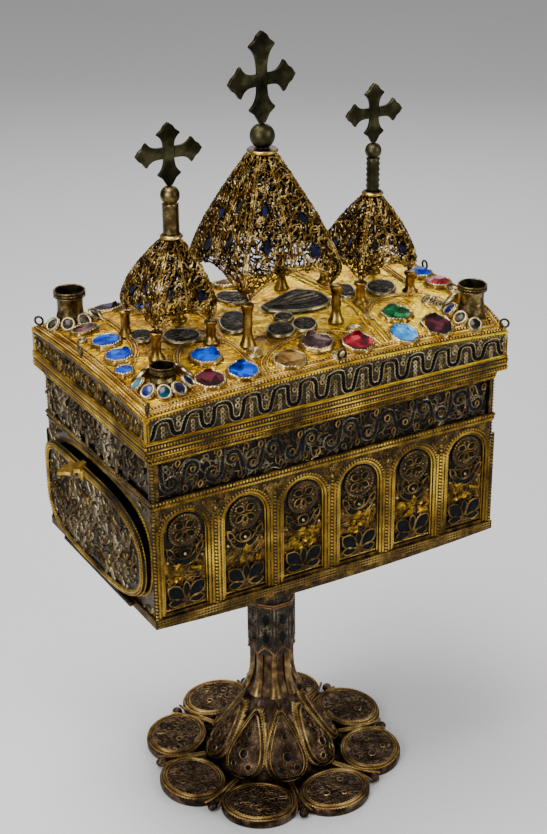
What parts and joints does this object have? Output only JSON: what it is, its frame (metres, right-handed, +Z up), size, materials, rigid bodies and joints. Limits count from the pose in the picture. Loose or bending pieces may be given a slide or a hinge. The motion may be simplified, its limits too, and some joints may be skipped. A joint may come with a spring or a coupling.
{
  "type": "reliquary casket",
  "caption": "Gilt filigree reliquary casket on a stem and lobed foot, with a lift-off gem-set lid carrying canopies with crosses, and a drop door in one end",
  "frame": {"origin": "on the ground plane at the centre of the foot's underside, on the axis of the stem", "axes": "+Z up through the stem; +X along the casket's long side, away from the end with the door; +Y from the front with its arcade to the back"},
  "size_m": [0.2431, 0.1614, 0.4587],
  "materials": {
    "gilt": "gilded silver, bright in the hollows and worn on the edges",
    "filigree": "twisted wire on sheet, gilding dulled brown, dark blue and green enamel in the cells",
    "brass": "turned and polished, dark in the grooves",
    "bronze": "cast, dark olive patina",
    "stone_blue": "polished",
    "stone_garnet": "polished",
    "stone_ruby": "polished",
    "stone_amethyst": "faceted, polished",
    "stone_emerald": "polished",
    "stone_turquoise": "polished, nearly opaque",
    "stone_quartz": "polished, clouded",
    "stone_smoky": "faceted, polished"
  },
  "bodies": {
    "casket": {"canopy_centre": "filigree", "canopy_left": "filigree", "canopy_right": "filigree", "casket_body": "filigree", "column_centre_1": "brass", "column_centre_2": "brass", "column_centre_3": "brass", "column_centre_4": "brass", "column_left_1": "brass", "column_left_2": "brass", "column_left_3": "brass", "column_left_4": "brass", "column_right_1": "brass", "column_right_2": "brass", "column_right_3": "brass", "column_right_4": "brass", "cross_centre": "bronze", "cross_left": "bronze", "cross_right": "bronze", "finial_centre": "bronze", "finial_left": "bronze", "finial_right": "bronze", "foot": "filigree", "lid": "gilt", "ring_back_left": "bronze", "ring_front_left": "bronze", "ring_front_middle": "bronze", "ring_front_right": "bronze", "ring_left_middle": "bronze", "ring_right_middle": "bronze", "socket_back_left": "brass", "socket_back_right": "brass", "socket_front_left": "brass", "socket_front_right": "brass", "stem_collar": "gilt", "stem_sleeve": "filigree", "stone_amethyst_front": "stone_amethyst", "stone_amethyst_left": "stone_amethyst", "stone_blue_back": "stone_blue", "stone_blue_front_1": "stone_blue", "stone_blue_front_2": "stone_blue", "stone_blue_left_1": "stone_blue", "stone_blue_left_2": "stone_blue", "stone_blue_left_3": "stone_blue", "stone_blue_right": "stone_blue", "stone_emerald_right": "stone_emerald", "stone_garnet_front_1": "stone_garnet", "stone_garnet_right": "stone_garnet", "stone_quartz_back": "stone_quartz", "stone_quartz_front": "stone_quartz", "stone_ruby_front": "stone_ruby", "stone_ruby_right": "stone_ruby", "stone_smoky_back": "stone_smoky", "stone_turquoise_right": "stone_turquoise"},
    "door": {"end_door": "filigree", "door_clasp": "brass"}
  },
  "joints": [
    {"name": "door_hinge", "type": "hinge", "parent": "casket", "child": "door", "pos_m": [-0.1133, 0, 0.165], "axis": [0, -1, 0], "range_deg": [0, 95]}
  ]
}
